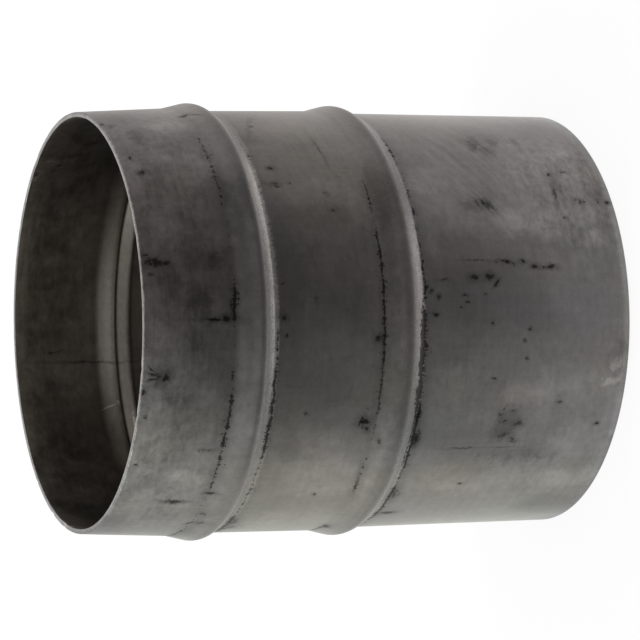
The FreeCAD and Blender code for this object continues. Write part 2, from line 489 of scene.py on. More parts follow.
class SpinTree:
    """Geometry Nodes that spin a section's points into a closed wall.

    The object's own mesh is the section: one vertex for each point, in the
    X-Z plane, with its side as numbers. The tree lays a grid with a row for
    each spoke and a column for each point, bends it round the axis, presses
    slight waves and mouth nicks into it, and closes both seams.

    Args:
        name: the tree's name.
    """

    SPOKES = "Spokes"
    WAVE = "Wave height"
    WAVE_LENGTH = "Wave length"
    NICK = "Nick depth"
    MOUTH = "Mouth height"
    SEED = "Seed"
    METAL = "Metal"
    NICK_FINENESS = 9.0
    NICK_BAND = (0.08, 0.3)
    NICK_REACH = 1.2 * MM
    SEAM_GAP = 0.01 * MM

    def __init__(self, name: str) -> None:
        self.tree = bpy.data.node_groups.new(name, "GeometryNodeTree")
        self.kit = NodeKit(self.tree)
        interface = self.tree.interface
        interface.new_socket("Section", in_out="INPUT", socket_type="NodeSocketGeometry")
        interface.new_socket(self.SPOKES, in_out="INPUT", socket_type="NodeSocketInt")
        for name in (self.WAVE, self.WAVE_LENGTH, self.NICK, self.MOUTH, self.SEED):
            interface.new_socket(name, in_out="INPUT", socket_type="NodeSocketFloat")
        interface.new_socket(self.METAL, in_out="INPUT", socket_type="NodeSocketMaterial")
        interface.new_socket("Wall", in_out="OUTPUT", socket_type="NodeSocketGeometry")
        self.build()

    def sampled(self, section: Signal, station: Signal, kind: str, value: Signal) -> Signal:
        """A field of the section, read at the station that a grid point stands for."""
        return self.kit.out("GeometryNodeSampleIndex", {"data_type": kind, "domain": "POINT"},
                            {"Geometry": section, "Value": value, "Index": station}, "Value")

    def noise(self, place: Signal, scale: Signal, seed: Signal) -> Signal:
        """A smooth noise from -0.5 to 0.5 at a place."""
        return self.kit.out("ShaderNodeTexNoise", {"noise_dimensions": "4D"},
                            {"Vector": place, "W": seed, "Scale": scale, "Detail": 1.0}) - 0.5

    def build(self) -> None:
        """Builds the tree's nodes."""
        kit = self.kit
        given = {socket.name: Signal(kit, socket) for socket in kit.node("NodeGroupInput").outputs}
        section, spokes, seed = given["Section"], given[self.SPOKES], given[self.SEED]
        stations = kit.out("GeometryNodeAttributeDomainSize", {"component": "MESH"},
                           {"Geometry": section}, "Point Count")
        columns = stations + 1.0
        wall = kit.out("GeometryNodeMeshGrid", None, {"Vertices X": spokes + 1.0, "Vertices Y": columns})
        index = kit.out("GeometryNodeInputIndex")
        row = kit.math("FLOOR", (index + 0.5) / columns)
        station = kit.math("MODULO", index - row * columns + 0.25, stations)

        position = kit.out("GeometryNodeInputPosition")
        radius, _, height = kit.parts(self.sampled(section, station, "FLOAT_VECTOR", position))
        turn = row / spokes * math.tau
        across = kit.math("SINE", turn)
        near = kit.math("COSINE", turn) * -1.0
        skin = kit.scaled(kit.joined(across, near, 0.0), radius)
        plain = kit.vector("ADD", skin, kit.joined(0.0, 0.0, height))

        fineness = 1.0 / given[self.WAVE_LENGTH]
        moved_radius = radius + self.noise(plain, fineness, seed) * given[self.WAVE]
        nick = kit.spread(self.noise(plain, fineness * self.NICK_FINENESS, seed), *self.NICK_BAND)
        at_mouth = kit.spread(given[self.MOUTH] - height, 0.0, self.NICK_REACH, 1.0, 0.0)
        drop = nick * given[self.NICK] * at_mouth
        where = kit.joined(across * moved_radius, near * moved_radius, height - drop)

        for side in (Side.LINING, Side.CUT_FACE):
            named = kit.out("GeometryNodeInputNamedAttribute", {"data_type": "FLOAT"}, {"Name": side.value})
            number = self.sampled(section, station, "FLOAT", named)
            wall = kit.out("GeometryNodeStoreNamedAttribute", {"data_type": "FLOAT", "domain": "POINT"},
                           {"Geometry": wall, "Name": side.value, "Value": number})
        for kind, inputs in (
                ("GeometryNodeSetPosition", {"Position": where}),
                ("GeometryNodeMergeByDistance", {"Distance": self.SEAM_GAP}),
                ("GeometryNodeSetShadeSmooth", {}),
                ("GeometryNodeRealizeInstances", {}),
                ("GeometryNodeSetMaterial", {"Material": given[self.METAL]})):
            wall = kit.out(kind, None, {"Geometry": wall, **inputs})
        kit.node("NodeGroupOutput", None, {"Wall": wall})

    def applied(self, owner: bpy.types.Object, values: dict[str, object]) -> bpy.types.Mesh:
        """Runs the tree on an object and returns the result as a plain mesh.

        Args:
            owner: the object whose mesh is the section.
            values: the tree's inputs by name.

        Returns:
            The made mesh. The modifier is taken off again.
        """
        modifier = owner.modifiers.new("spin", "NODES")
        modifier.node_group = self.tree
        for item in self.tree.interface.items_tree:
            if item.in_out == "INPUT" and item.name in values:
                modifier[item.identifier] = values[item.name]
        bpy.context.view_layer.update()
        evaluated = owner.evaluated_get(bpy.context.evaluated_depsgraph_get())
        mesh = bpy.data.meshes.new_from_object(evaluated)
        owner.modifiers.remove(modifier)
        return mesh


@dataclass(frozen=True)
class MarkLook:
    """How all marks of one kind look.

    Args:
        tone: the metal's brightness under the mark, 1 where it changes nothing.
        core: the share of a mark's size up to which it is at its full tone.
        edge: the share at which it has faded out.
        ragged: how far its outline is broken up, in mm.
        crumble: how much of it is lost in specks.
        halo: the share of its tone that a faint smudge round it has.
        dull: what it adds to the roughness.
    """

    tone: float
    core: float
    edge: float
    ragged: float
    crumble: float
    halo: float
    dull: float


class MarkKind(Enum):
    """What a mark on the wall is, and how it looks."""

    INK = MarkLook(tone=0.15, core=0.35, edge=1.32, ragged=0.9, crumble=0.38, halo=0.36, dull=0.25)
    STAIN = MarkLook(tone=0.32, core=0.05, edge=1.2, ragged=1.2, crumble=0.75, halo=0.24, dull=0.15)
    LINE = MarkLook(tone=0.40, core=0.1, edge=1.2, ragged=0.6, crumble=0.75, halo=0.30, dull=0.05)
    SCRATCH = MarkLook(tone=2.3, core=0.1, edge=1.1, ragged=0.2, crumble=0.5, halo=0.0, dull=0.0)


@dataclass(frozen=True)
class Mark:
    """One mark on a skin of the wall.

    Args:
        height: its middle's height above the weld face, in mm.
        turn: its middle's turn about the axis, in degrees.
        high: half its size along the axis, in mm.
        wide: half its size round the tube, in mm.
        lean: its tilt, in degrees.
    """

    height: float
    turn: float
    high: float
    wide: float
    lean: float = 0.0


@dataclass(frozen=True)
class Patch(Mark):
    """A soft patch where the outside is lighter or darker than the metal round it: some are the metal's own
    mottle, others painted shade or painted highlight that set how bright its reflections look.

    Args:
        change: what it adds to the tone.
        edge: the share of its size up to which it is at its full change.
    """

    change: float = 0.0
    edge: float = 0.35


def marks_of(rows: dict[MarkKind, tuple[tuple[float, ...], ...]]) -> dict[MarkKind, tuple[Mark, ...]]:
    """Marks of each kind, from rows of their numbers in the order of the class."""
    return {kind: tuple(Mark(*row) for row in numbers) for kind, numbers in rows.items()}


MARKS = marks_of({
    MarkKind.INK: (
        (151.3, -18.1, 0.6, 0.8), (151.2, 66.5, 0.6, 0.9), (150.6, 17.6, 0.8, 0.6), (149.7, -40, 0.5, 0.5),
        (149.7, -25, 0.5, 0.4), (149.4, -12, 0.3, 1.3, 45), (149, -14.9, 0.3, 1.7, 100),
        (149, -13.4, 0.3, 1.6, 70), (148.8, 48, 0.6, 0.5), (147.3, 15.3, 2.8, 1.7),
        (146.4, 42.4, 1.5, 0.9), (145.2, -14.2, 1.9, 0.9, 60), (145, 15.1, 1.6, 0.8),
        (134.4, -54.5, 2.6, 0.9), (131.9, 0.6, 1.8, 0.6), (128, 0.9, 1.5, 1), (125.8, -66.6, 1.5, 0.5, 30),
        (125, -50.2, 2, 0.6), (124.6, 70.4, 1.9, 0.9, 35), (122, 70, 1.8, 0.5, -30),
        (110.6, 0.9, 1.1, 1.1), (109.9, -3.6, 0.6, 0.5), (107.2, 44.1, 1.2, 0.8), (106.5, 64, 0.6, 0.6),
        (102, -24.5, 0.6, 0.5), (91.8, -52.8, 0.6, 0.6), (83.6, -27, 1.6, 1.5), (82.2, -29.2, 1, 1),
        (81.6, -4.7, 1.2, 1.2), (78.4, -76, 1.2, 1), (66.3, -26.4, 0.7, 2.2), (65.8, 8.5, 0.5, 0.5),
        (65.6, -33.2, 0.8, 2.4), (64.2, 7.4, 0.6, 0.7), (63.4, 1.2, 0.9, 0.6), (62.8, -65.4, 2.8, 1),
        (62.3, 5.8, 0.7, 0.9), (55.2, 3.1, 0.5, 0.3), (53.5, 6.3, 0.8, 0.4), (53, 4.2, 0.5, 0.3),
        (50.4, 10.9, 1.8, 1.1), (45.6, 11.2, 1.7, 1.1), (45.4, -50.4, 0.8, 0.6), (45.1, -1.1, 0.6, 0.5),
        (43.8, -15.8, 0.7, 0.4), (43.4, 9.4, 1.5, 0.5, 40), (39.2, 15, 0.9, 0.5), (34.6, -5.7, 0.6, 0.4),
        (34, 15.2, 1.1, 0.6), (33.6, -10.5, 0.6, 0.4), (33.1, -2.8, 0.6, 0.5), (30.3, 13.9, 1.5, 0.8),
        (25, 13.9, 1.7, 0.8), (21.2, -23, 0.8, 0.5), (18, 42.6, 0.8, 0.7), (7.2, -29.7, 0.8, 0.6),
        (1.8, 32.8, 0.8, 0.7),
    ),
    MarkKind.STAIN: (
        (149.6, 15.6, 1.8, 2), (149.4, 12.6, 1.6, 0.9), (149.4, 64.5, 1.2, 1.5), (147.6, -13.6, 1.3, 0.9),
        (135.2, -54.2, 4.4, 0.8), (126.2, 4.6, 0.7, 3.2), (123.8, -60, 2, 1.4), (122.6, -65.5, 1.8, 1.6),
        (111, -68.5, 2, 3.4), (110.7, 9.7, 0.8, 0.5), (109.8, -73.5, 2.4, 2.6), (107.2, 37.6, 1.6, 0.4),
        (103, 38.3, 0.6, 0.4), (100.6, 5.5, 0.9, 0.7), (92.5, 34.9, 0.9, 0.9), (91.3, 29.8, 1.2, 1),
        (83.4, -27.2, 2.2, 2.4), (82.4, -23.3, 1, 0.8), (78.6, -74.5, 1.8, 2.4),
        (77.2, -33.3, 0.7, 1.6, 20), (65, -54.5, 1.8, 3), (64.8, -32.5, 1.5, 3.4), (47.2, -36.4, 0.9, 0.4),
        (47.2, 6.8, 0.7, 0.3), (42.4, 32.4, 2, 0.9, -38), (40.4, 15.3, 2.6, 0.9),
        (39.6, -26.4, 1.3, 0.8, -35), (38.8, -24.4, 0.5, 1.4, -35), (38, -28.2, 1.6, 0.6),
        (37.2, 14.6, 1.6, 0.7), (37.1, -32.6, 2.6, 1.2), (36, -25.4, 0.7, 0.5), (33.8, -34, 1.7, 1.1, -30),
        (33.4, -29.2, 1.5, 1.3), (27.4, 13.4, 0.9, 0.5), (18.4, 35.2, 0.6, 3.4), (17.6, 27.8, 1, 0.9),
        (12.6, 43.5, 1.4, 0.7), (10.8, 33.4, 2.4, 1.2), (5.1, 33.1, 0.8, 1.4),
    ),
    MarkKind.LINE: (
        (131.8, 0.6, 6.2, 0.45), (130.5, -34.8, 3, 0.6), (107.6, 38.4, 2.2, 0.5), (89.5, 51.5, 0.35, 7, 4),
        (79.9, -48, 0.45, 4.8, 8.6), (79.8, -14.5, 0.35, 11), (60.4, 10.4, 1.6, 0.4),
        (49.9, -36.7, 5, 0.35), (49, 15.7, 5, 0.3), (45.2, 32.8, 0.5, 2.8, 28), (42.8, 32, 0.5, 3.4, 28),
        (40.4, 31.2, 0.6, 3.2, 28), (37.6, 55, 0.6, 3.4, 28), (36.8, -36.7, 4.4, 0.18),
        (34.6, 53.4, 0.5, 3, 28),
    ),
})

INSIDE_MARKS = marks_of({
    MarkKind.INK: (
        (151, 131.1, 1.3, 1.6), (147.2, 126.2, 0.9, 0.7), (144.4, 127.6, 1.7, 1, -20),
    ),
    MarkKind.STAIN: (
        (139, -171.5, 5, 0.5),
    ),
    MarkKind.LINE: (
        (127, -168.4, 16, 0.4),
    ),
    MarkKind.SCRATCH: (
        (122.6, -154.8, 4.8, 0.28, -25), (118.6, -156.6, 0.6, 0.9), (114.9, -149.5, 0.35, 5.4, 3),
    ),
})

# Soft lighter and darker patches: partly the metal's own mottle, partly painted shade and painted highlight
# that set how bright its reflections look, as near both edges of the view.
MOTTLE_AND_PAINTED_LIGHT_PATCHES = tuple(Patch(*row) for row in (
    # On the hose end and the first bead.
    (150, -66, 4, 6, 0, -0.16), (150, 16, 3, 5, 0, -0.12), (149.5, -12, 2.6, 5, 0, 0.14),
    (149, -79, 7, 19, 0, -0.42), (149, -22, 3, 9, 0, 0.22), (148, 51, 3, 6, 0, -0.18),
    (147.5, -4, 4, 5, 0, 0.14), (147, -33, 5, 9, 0, 0.26), (147, 72, 6, 6, 0, -0.12),
    (146.5, -14, 3.5, 3.5, 0, -0.28), (144.5, -46, 2.6, 3.2, 0, -0.3), (144, 10, 4, 6.5, 0, -0.36),
    (143.5, 58.5, 3, 4.5, 0, -0.34), (143.2, -20.5, 1.9, 2.8, 0, -0.22), (143, 8, 3, 5, 0, -0.14),
    (143, 71, 4, 6, 0, -0.14), (142.5, 24.5, 3.8, 6.5, 0, 0.18), (140.5, -21, 4.5, 2.5, 0, -0.12),
    (140, 38, 6.5, 7.5, 0, -0.22), (138.4, -20, 1.6, 2.4, 0, -0.2), (138, -62, 10, 5, 0, -0.14),
    (138, 18, 4, 5, 0, -0.14), (137.5, 1, 5, 8, 0, -0.22), (136, -11, 5, 7, 0, -0.1),
    (136, 5, 4, 3.6, 0, -0.34), (136, 27, 4, 6, 0, -0.12), (134, 14, 7, 9, 0, -0.24),
    (133.2, -44.8, 6.8, 4.9, 0, 0.24, 0.7), (132.5, -6, 6, 6.5, 0, -0.22), (132.5, 63.5, 7, 4.6, 0, 0.45),
    (131.3, 15.3, 2.4, 2.2, 0, -0.28), (131, 72, 9, 11, 0, 0.22), (129.5, -36, 3.5, 6, 0, 0.14),
    (129, 44, 4, 6, 0, 0.16), (128.5, -15, 4, 6, 0, -0.16), (128, 34, 5, 9, 0, -0.18),
    (126, 75, 10, 11, 0, 0.22), (124, -75, 3, 9, 0, -0.28), (124, 36, 3.4, 7, 0, -0.22),
    (122.5, 30, 2.6, 14, 0, -0.14), (121, -26, 3.4, 8, 0, 0.18), (118.5, -28, 2.6, 6, 0, 0.12),
    (118.4, 35, 2, 8, 0, -0.26),
    # On the land and the second bead.
    (109.5, 57, 3, 3.5, 0, -0.22), (108, 4, 4.5, 28, 0, -0.14), (105.8, 66, 1, 10, -20, -0.34),
    (105, -35, 3.5, 5, 20, -0.18), (101, -73, 9, 11, 0, 0.32), (97, -20, 13, 9, 0, -0.15),
    (95, 74, 9, 9, 0, 0.12), (94.5, 36, 14, 5.5, 0, 0.22), (94, 63, 12, 6.5, 0, 0.16),
    (93, -32, 5, 4, 0, 0.14), (92, -70, 13, 12, 0, 0.2), (92, -45, 15, 9.5, -14, 0.22),
    (92, 5, 13, 9, 0, -0.1), (90, 75, 10, 10, 0, 0.2), (85, -71, 7, 12, 0, 0.18), (84, 31, 4, 5, 0, 0.12),
    (77, -27, 3.2, 6, 0, 0.14), (76.2, -22, 3.2, 34, 0, 0.2), (76.2, 35, 3.6, 14.5, 0, -0.3),
    (69.4, 33, 3, 14, 0, -0.25),
    # On the weld end.
    (63, 24, 3, 7, 0, 0.14), (62, -66, 3.5, 6, 0, -0.16), (61, 37, 9, 9.5, 0, 0.2),
    (57, -17, 9, 6, 0, 0.14), (53, 33, 16, 8.5, -22, 0.12, 0.75), (51, 25, 9, 3.2, 0, 0.16),
    (49, 8, 19, 14, 0, -0.24), (48, -35, 19, 8, 0, -0.24), (46, -49.5, 19, 5, 0, 0.15),
    (45.4, 31.8, 5.4, 2.3, 0, -0.36), (43.5, -40.5, 1.1, 3, 0, -0.14), (43, -47, 8, 5, 0, -0.1),
    (40, -47.5, 6, 4, 0, -0.08), (38.5, -40.5, 1.1, 3, 0, -0.14), (38, 55.5, 2.2, 4.6, -20, -0.48, 0.5),
    (37, -29, 4.5, 5.5, -30, -0.32), (36.5, 26.5, 5, 4.6, 0, 0.4), (36, 28, 5, 6, 0, 0.16),
    (36, 58, 9, 7, 0, -0.12), (35, 51.5, 2, 4.5, -35, -0.22), (33, -41, 1.2, 3.2, 0, -0.16),
    (33, -20, 10, 4, 0, 0.22), (33, 62, 8, 7, 0, -0.14), (31.1, 56.5, 2, 2.4, 0, -0.32),
    (30, -51, 27, 8.6, 0, 0.07, 0.8), (30, 0, 9, 7, 0, -0.15), (30, 38, 8, 8, 0, 0.14),
    (29, -39.5, 12, 3.4, 0, -0.22), (28, -40.5, 1.1, 3.4, 0, -0.14), (27, 26, 9, 1.3, 8, 0.16),
    (27, 27, 8, 6, 0, 0.22), (26, -37, 5, 5, 0, -0.12), (26, -20, 4, 7, 0, 0.16), (24, 46, 7, 6, 0, 0.16),
    (23.5, -41, 1.1, 3, 0, -0.16), (23.5, 57, 1.8, 2.6, 0, -0.32), (20, 29, 9, 7, 0, 0.22),
    (18.5, -41, 1.2, 3.2, 0, -0.16), (16.5, 39, 1.2, 6, 0, -0.2), (16, 27, 8, 1.2, -14, 0.2),
    (15, -17, 13, 6, 0, 0.14), (13, -20, 8, 7, 0, 0.16), (12, -63.5, 11, 8, 0, -0.34),
    (12, -34, 9, 9, 0, 0.2), (12, 81, 17, 23, 0, -0.38), (11, -49, 11, 5, 0, 0.24), (11, 51, 5, 4, 0, 0.2),
    (10, 22, 5, 3, 30, 0.2), (10, 23, 5, 1, -30, 0.2), (10, 31, 4, 5, 0, 0.18), (10, 42, 5, 8, 0, 0.14),
    (9, -81, 15, 20, 0, -0.3), (5.2, -17.2, 3, 1.5, 12, 0.6), (4.2, -12.7, 2.2, 1.4, 0, 0.5),
    (3, -48, 3, 5, 0, 0.2), (3, -28, 3, 22, 0, 0.16), (3, 38, 2.2, 12, 0, -0.2),
    (2.5, -72, 4, 17, 0, -0.28), (2.5, 56, 3, 6, 0, -0.2), (2.5, 80, 4, 20, 0, -0.16),
    (2, -8, 2.5, 2.6, 0, -0.25),
))


@dataclass(frozen=True)
class GrimeLine:
    """Dirt packed along a bead's foot or root.

    Args:
        height: the line's height above the weld face, in mm.
        wide: half its width, in mm.
        loads: how much dirt there is at some turns, in degrees, from 0 to 1.
        strewn: how far loose specks lie to both sides, in mm.
    """

    height: float
    wide: float
    loads: tuple[tuple[float, float], ...]
    strewn: float = 5.0


GRIME_LINES = (
    GrimeLine(125.5, 0.75, (
        (-180, 0.5), (-80, 0.9), (-74, 0.8), (-70, 0.55), (-54, 0.50), (-50, 0.6), (-46, 0.75),
        (-20, 0.9), (-16, 0.55), (-12.5, 0.85), (-10, 0.25), (-1, 0.5), (1, 0.95), (8, 0.8),
        (14, 0.45), (32, 0.5), (36, 0.7), (56, 0.7), (60, 0.3), (180, 0.5))),
    GrimeLine(112.5, 0.70, (
        (-180, 0.45), (-76, 1.15), (-66, 1.10), (-60, 0.6), (-52, 0.70), (-46, 0.5), (-38, 0.7),
        (-34, 0.95), (-20, 0.9), (-10, 0.8), (-4, 0.75), (0, 0.4), (18, 0.4), (24, 0.55), (44, 0.55),
        (49, 0.75), (53, 0.3), (180, 0.45))),
    GrimeLine(79.7, 0.62, (
        (-180, 0.45), (-77, 1.0), (-71, 0.5), (-60, 0.35), (-52, 0.62), (-40, 0.65), (-36, 0.4),
        (-28, 0.65), (-18, 0.75), (-12, 0.7), (-8, 0.9), (16, 0.9), (23, 0.8), (26, 0.4), (34, 0.8),
        (40, 0.6), (42, 0.2), (180, 0.45))),
    GrimeLine(66.5, 0.75, (
        (-180, 0.5), (-72, 0.75), (-67, 1.0), (-61, 0.85), (-53, 0.95), (-47, 0.65), (-40, 0.9),
        (-30, 1.0), (-24, 0.85), (-16, 0.5), (0, 0.5), (8, 0.68), (24, 0.6), (34, 0.65),
        (40, 0.65), (44, 0.5), (50, 0.8), (57, 0.75), (60, 0.25), (180, 0.5))),
    GrimeLine(67.4, 0.70, ((-180, 0.0), (-46, 0.0), (-41, 0.8), (-28, 0.8), (-21, 1.3), (1, 1.3),
                           (4, 0.7), (9, 0.0), (35, 0.0), (37.5, 0.7), (40, 0.0), (180, 0.0))),
)


class WallPlace:
    """Where a point of the skin is, as the metal's layers read it, all in mm and degrees.

    Args:
        kit: the material's nodes.
    """

    SKIN_RADIUS = 63.5
    MM_PER_DEGREE = math.radians(SKIN_RADIUS)
    LINING_SHIFT = 300.0

    def __init__(self, kit: NodeKit) -> None:
        self.lining, self.cut_face = (
            kit.out("ShaderNodeAttribute", {"attribute_name": side.value}, None, "Fac")
            for side in (Side.LINING, Side.CUT_FACE))
        self.outside = 1.0 - self.lining
        self.spot = kit.scaled(kit.out("ShaderNodeTexCoord", output="Object"), 1.0 / MM)
        x, y, self.height = kit.parts(self.spot)
        self.turn = kit.turn(x, y)
        self.flat = kit.joined(self.turn * self.MM_PER_DEGREE, self.height, 0.0)
        self.solid = kit.vector("ADD", self.spot, kit.joined(0.0, 0.0, self.lining * self.LINING_SHIFT))


@dataclass(frozen=True)
class Noise:
    """A noise from about -1 to 1.

    Args:
        size: its features' size, in mm.
        detail: how many finer layers it has.
        rough: how strong those are.
        warp: how far it bends its own place.
        stretch: what the place's axes are multiplied by, or nothing.
        shift: what is added to the place, in mm, or nothing.
    """

    size: float
    detail: float = 2.0
    rough: float = 0.5
    warp: float = 0.0
    stretch: Triple | None = None
    shift: Triple | None = None

    PLAIN_BAND = (0.25, 0.75)

    def made(self, kit: NodeKit, place: Signal) -> Signal:
        """Builds the noise at a place in mm.

        Args:
            kit: the material's nodes.
            place: the place.

        Returns:
            The noise.
        """
        if self.shift:
            place = kit.vector("ADD", place, self.shift)
        if self.stretch:
            place = kit.vector("MULTIPLY", place, self.stretch)
        plain = kit.out("ShaderNodeTexNoise", None, {
            "Vector": place, "Scale": 1.0 / self.size, "Detail": self.detail, "Roughness": self.rough,
            "Distortion": self.warp})
        low, high = self.PLAIN_BAND
        return kit.out("ShaderNodeMapRange", {"clamp": False}, {0: plain, 1: low, 2: high, 3: -1.0, 4: 1.0})


class Layer(Enum):
    """The noises that the metal is mottled with."""

    CLOUDS = Noise(24.0, 3.0, 0.55, 0.4)
    BROAD = Noise(34.0, 2.0, 0.5, 0.3, shift=(40.0, 0.0, 17.0))
    SMEARS = Noise(7.0, 4.0, 0.6, 0.6)
    DABS = Noise(2.4, 3.0, 0.6, 0.3, stretch=(0.8, 0.8, 1.3))
    GRAIN = Noise(0.6, 2.0, 0.6)
    CRUMBS = Noise(1.0, 3.0, 0.65)
    FLECKS = Noise(0.45, 2.0, 0.6)
    ROLLED = Noise(1.8, 4.0, 0.65, stretch=(0.06, 0.06, 1.0))
    DRAWN = Noise(1.6, 3.0, 0.6, stretch=(1.0, 1.0, 0.06))


Weights = tuple[tuple[Layer, float], ...]


class Layers:
    """The metal's places and noises, each built once.

    Args:
        kit: the material's nodes.
    """

    SHAKE_FINENESS = 0.45
    SHAKE_DETAIL = 4.0
    SHAKE_ROUGH = 0.7
    SHAKE_REACH = 3.0

    def __init__(self, kit: NodeKit) -> None:
        self.kit = kit
        self.place = WallPlace(kit)
        self.made = {layer: layer.value.made(kit, self.place.solid) for layer in Layer}
        self.shake = self.shaken()

    def __getitem__(self, layer: Layer) -> Signal:
        """One of the noises."""
        return self.made[layer]

    def weighted(self, weights: Weights, start: Signal | float | None = None) -> Signal:
        """The sum of some noises, each times its weight, after a first value where one is given.

        Args:
            weights: the noises and their weights.
            start: the first value.

        Returns:
            The sum.
        """
        result = start
        for layer, weight in weights:
            share = self[layer] * weight
            result = share if result is None else result + share
        return result

    def shaken(self) -> Signal:
        """An even shake of up to about 1 mm in both directions of the skin.

        Returns:
            The shake in mm: round the tube, along it and nothing.
        """
        coarse = self.kit.out("ShaderNodeTexNoise", None, {
            "Vector": self.place.spot, "Scale": self.SHAKE_FINENESS, "Detail": self.SHAKE_DETAIL,
            "Roughness": self.SHAKE_ROUGH}, "Color")
        shake = self.kit.scaled(self.kit.vector("SUBTRACT", coarse, (0.5, 0.5, 0.5)), self.SHAKE_REACH)
        return self.kit.vector("MULTIPLY", shake, (1.0, 1.0, 0.0))

    def ragged(self, reach: float) -> Signal:
        """The place on the unrolled skin, shaken by a reach in mm."""
        return self.kit.vector("ADD", self.place.flat, self.kit.scaled(self.shake, reach))


@dataclass(frozen=True)
class Zone:
    """A stretch of the wall that fades out at its edges.

    Args:
        heights: its lowest and highest height, in mm.
        soft: half the height over which each edge fades.
        turns: its first and last turn in degrees, or nothing where it goes all round.
        turn_soft: half the turn over which each side fades.
    """

    heights: Span
    soft: float
    turns: Span | None = None
    turn_soft: float = 12.0

    def share(self, place: WallPlace, turn: Signal | None = None) -> Signal:
        """1 inside the zone and 0 outside, read at the place's own turn or another.

        Args:
            place: the place on the wall.
            turn: the other turn, where there is one.

        Returns:
            The share.
        """
        kit = place.height.kit
        share = kit.within(place.height, *self.heights, self.soft)
        if self.turns:
            share = share * kit.within(turn or place.turn, *self.turns, self.turn_soft)
        return share


def ovals(kit: NodeKit, spot: Signal, marks: tuple[Mark, ...]) -> Iterator[tuple[Mark, Signal]]:
    """Marks or patches, each with the distance from its middle.

    Args:
        kit: the material's nodes.
        spot: the place on the unrolled skin, in mm.
        marks: the marks or patches.

    Yields:
        Each with the distance as a share of its size: 1 on its outline.
    """
    for lean in sorted({mark.lean for mark in marks}):
        turn = Matrix.Rotation(-math.radians(lean), 2)
        turned = spot
        if lean:
            turned = kit.joined(*(kit.vector("DOT_PRODUCT", spot, (*row, 0.0)) for row in turn), 0.0)
        for mark in marks:
            if mark.lean == lean:
                middle = turn @ Vector((mark.turn * WallPlace.MM_PER_DEGREE, mark.height))
                near = kit.vector("MULTIPLY_ADD", turned, (1.0 / mark.wide, 1.0 / mark.high, 0.0),
                                  (-middle.x / mark.wide, -middle.y / mark.high, 0.0))
                yield mark, kit.vector("LENGTH", near)


@dataclass(frozen=True)
class PackedDirt:
    """The black dirt along the beads' feet and roots.

    Args:
        lines: where it lies.
        dense: how it thins out beside its line: the half widths of the line at
            which it has gone and up to which there is most, and how much that is.
        wide: the same for the looser dirt on both sides of that.
        smudge: the same for the thin smear round both.
        wander: the noise that bends each line, and how far it does in mm.
        dashes: the noise that breaks it into dashes, and how strongly.
        crumbs: how strongly the metal's crumbs break it up.
        flecks: how strongly its flecks do.
        held_band: the sum of dirt and specks between which it starts to cover.
        load_band: the dirt between which it can cover at all.
        loose: the noises that strew loose specks.
        strewn: how many of those lie right beside the line.
        loose_band: the sum between which one shows, and how strongly it covers.
        tone: the metal's brightness under it.
        dull: what it adds to the roughness.
    """

    lines: tuple[GrimeLine, ...] = GRIME_LINES
    dense: Triple = (1.7, 0.1, 1.0)
    wide: Triple = (4.4, 0.5, 0.66)
    smudge: Triple = (5.0, 0.4, 0.24)
    wander: tuple[Noise, float] = (Noise(5.0, 3.0), 0.35)
    dashes: tuple[Noise, float] = (Noise(1.3, 3.0, 0.65, stretch=(1.0, 1.0, 0.35)), 0.30)
    crumbs: float = 0.24
    flecks: float = 0.22
    held_band: Span = (0.55, 0.82)
    load_band: Span = (0.12, 0.34)
    loose: Weights = ((Layer.CRUMBS, 0.55), (Layer.FLECKS, 0.35))
    strewn: float = 0.42
    loose_band: tuple[float, float, float, float] = (0.60, 0.80, 0.0, 0.85)
    tone: float = 0.16
    dull: float = 0.3

    def cover(self, layers: Layers) -> Signal:
        """How strongly the dirt covers a place, from 0 to 1.

        Args:
            layers: the metal's places and noises.

        Returns:
            The cover, 0 inside the tube.
        """
        kit, place = layers.kit, layers.place
        wander, dashes = (noise.made(kit, place.spot) * by for noise, by in (self.wander, self.dashes))
        specks = layers[Layer.CRUMBS] * self.crumbs + dashes + layers[Layer.FLECKS] * self.flecks
        loose = layers.weighted(self.loose)
        height = place.height + wander
        cover: Signal | float = 0.0
        for line in self.lines:
            load = kit.curve(place.turn, -HALF_TURN, HALF_TURN, line.loads)
            away = kit.math("ABSOLUTE", height - line.height)
            dense, wide, smudge = (kit.spread(away, gone * line.wide, full * line.wide, 0.0, most)
                                   for gone, full, most in (self.dense, self.wide, self.smudge))
            level = kit.math("MAXIMUM", dense, wide) * load
            held = kit.spread(specks + level, *self.held_band) * kit.spread(level, *self.load_band)
            strewn = kit.spread(away, line.strewn, 0.0, 0.0, self.strewn, smooth=False) * load
            packed = kit.math("MAXIMUM", held, smudge * load)
            specked = kit.spread(loose + strewn, *self.loose_band)
            cover = kit.math("MAXIMUM", cover, kit.math("MAXIMUM", packed, specked))
        return cover * place.outside


